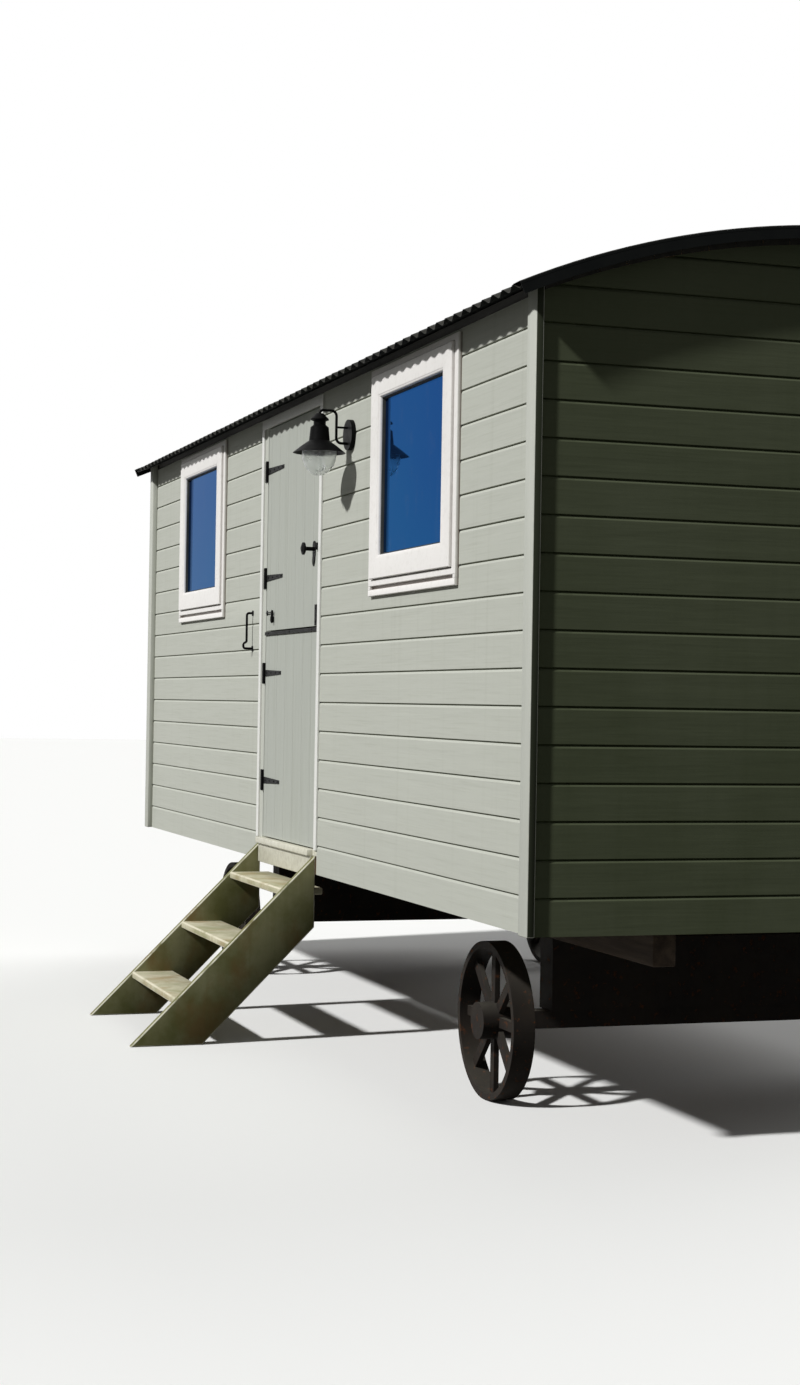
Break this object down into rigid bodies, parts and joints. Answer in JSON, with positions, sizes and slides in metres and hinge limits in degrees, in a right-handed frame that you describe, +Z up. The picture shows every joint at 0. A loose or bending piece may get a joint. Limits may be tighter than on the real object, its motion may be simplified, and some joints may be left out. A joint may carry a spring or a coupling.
{
  "type": "shepherd's hut",
  "caption": "Wooden hut on iron wheels with a curved corrugated roof, a split stable door, windows, a wall lamp and open wooden steps.",
  "frame": {"origin": "on the ground, in the middle of the rectangle that hut and steps cover", "axes": "+Z up, +X along the hut to the right as seen from the door side, -Y towards the door side"},
  "size_m": [5.54, 2.97, 2.7909],
  "materials": {
    "sage_paint": "painted shiplap boards, satin, lightly weathered",
    "cream_paint": "painted joinery, satin",
    "roof_iron": "corrugated iron, dark grey paint",
    "window_glass": "clear sealed glazing",
    "lamp_glass": "clear blown glass",
    "black_iron": "black enamelled iron",
    "step_paint": "sage paint, worn, with brown algae",
    "running_gear": "black painted iron and steel",
    "bare_boards": "plain softwood boards",
    "bearer_timber": "dark stained softwood bearers"
  },
  "bodies": {
    "hut": {"floor": "bare_boards", "front_wall_left": "sage_paint", "front_wall_right": "sage_paint", "back_wall": "sage_paint", "near_end_wall": "sage_paint", "far_end_wall": "sage_paint", "roof_boards": "bare_boards", "roof_iron": "roof_iron", "corner_trim_front_left": "sage_paint", "corner_trim_front_right": "sage_paint", "corner_trim_back_left": "sage_paint", "corner_trim_back_right": "sage_paint", "front_left_window_frame": "cream_paint", "front_left_window_glass": "window_glass", "front_right_window_frame": "cream_paint", "front_right_window_glass": "window_glass", "back_left_window_frame": "cream_paint", "back_left_window_glass": "window_glass", "back_right_window_frame": "cream_paint", "back_right_window_glass": "window_glass", "door_frame": "cream_paint", "door_sill": "cream_paint", "hinge_plates": "black_iron", "lamp_bracket": "black_iron", "lamp_shade": "black_iron", "lamp_glass": "lamp_glass", "grab_handle": "black_iron", "step_string_left": "step_paint", "step_string_right": "step_paint", "bottom_tread": "step_paint", "middle_tread": "step_paint", "top_tread": "step_paint", "front_floor_beam": "bearer_timber", "back_floor_beam": "bearer_timber", "far_axle": "running_gear", "near_axle": "running_gear", "far_front_wheel": "running_gear", "far_back_wheel": "running_gear", "near_front_wheel": "running_gear", "near_back_wheel": "running_gear"},
    "bottom_leaf": {"door_bottom_leaf": "sage_paint", "bottom_leaf_hinges": "black_iron"},
    "top_leaf": {"door_top_leaf": "sage_paint", "top_leaf_hinges": "black_iron", "lock_plate": "black_iron"},
    "knob": {"door_knob": "black_iron"}
  },
  "joints": [
    {"name": "bottom_leaf_swing", "type": "hinge", "parent": "hut", "child": "bottom_leaf", "pos_m": [-0.3725, -0.771, 1.2], "axis": [0, 0, -1], "range_deg": [0, 110]},
    {"name": "top_leaf_swing", "type": "hinge", "parent": "hut", "child": "top_leaf", "pos_m": [-0.3725, -0.771, 2.1], "axis": [0, 0, -1], "range_deg": [0, 110]},
    {"name": "knob_turn", "type": "hinge", "parent": "top_leaf", "child": "knob", "pos_m": [0.355, -0.79, 1.927], "axis": [0, -1, 0], "range_deg": [-60, 60], "stiffness_Nm_per_rad": 0.05}
  ]
}
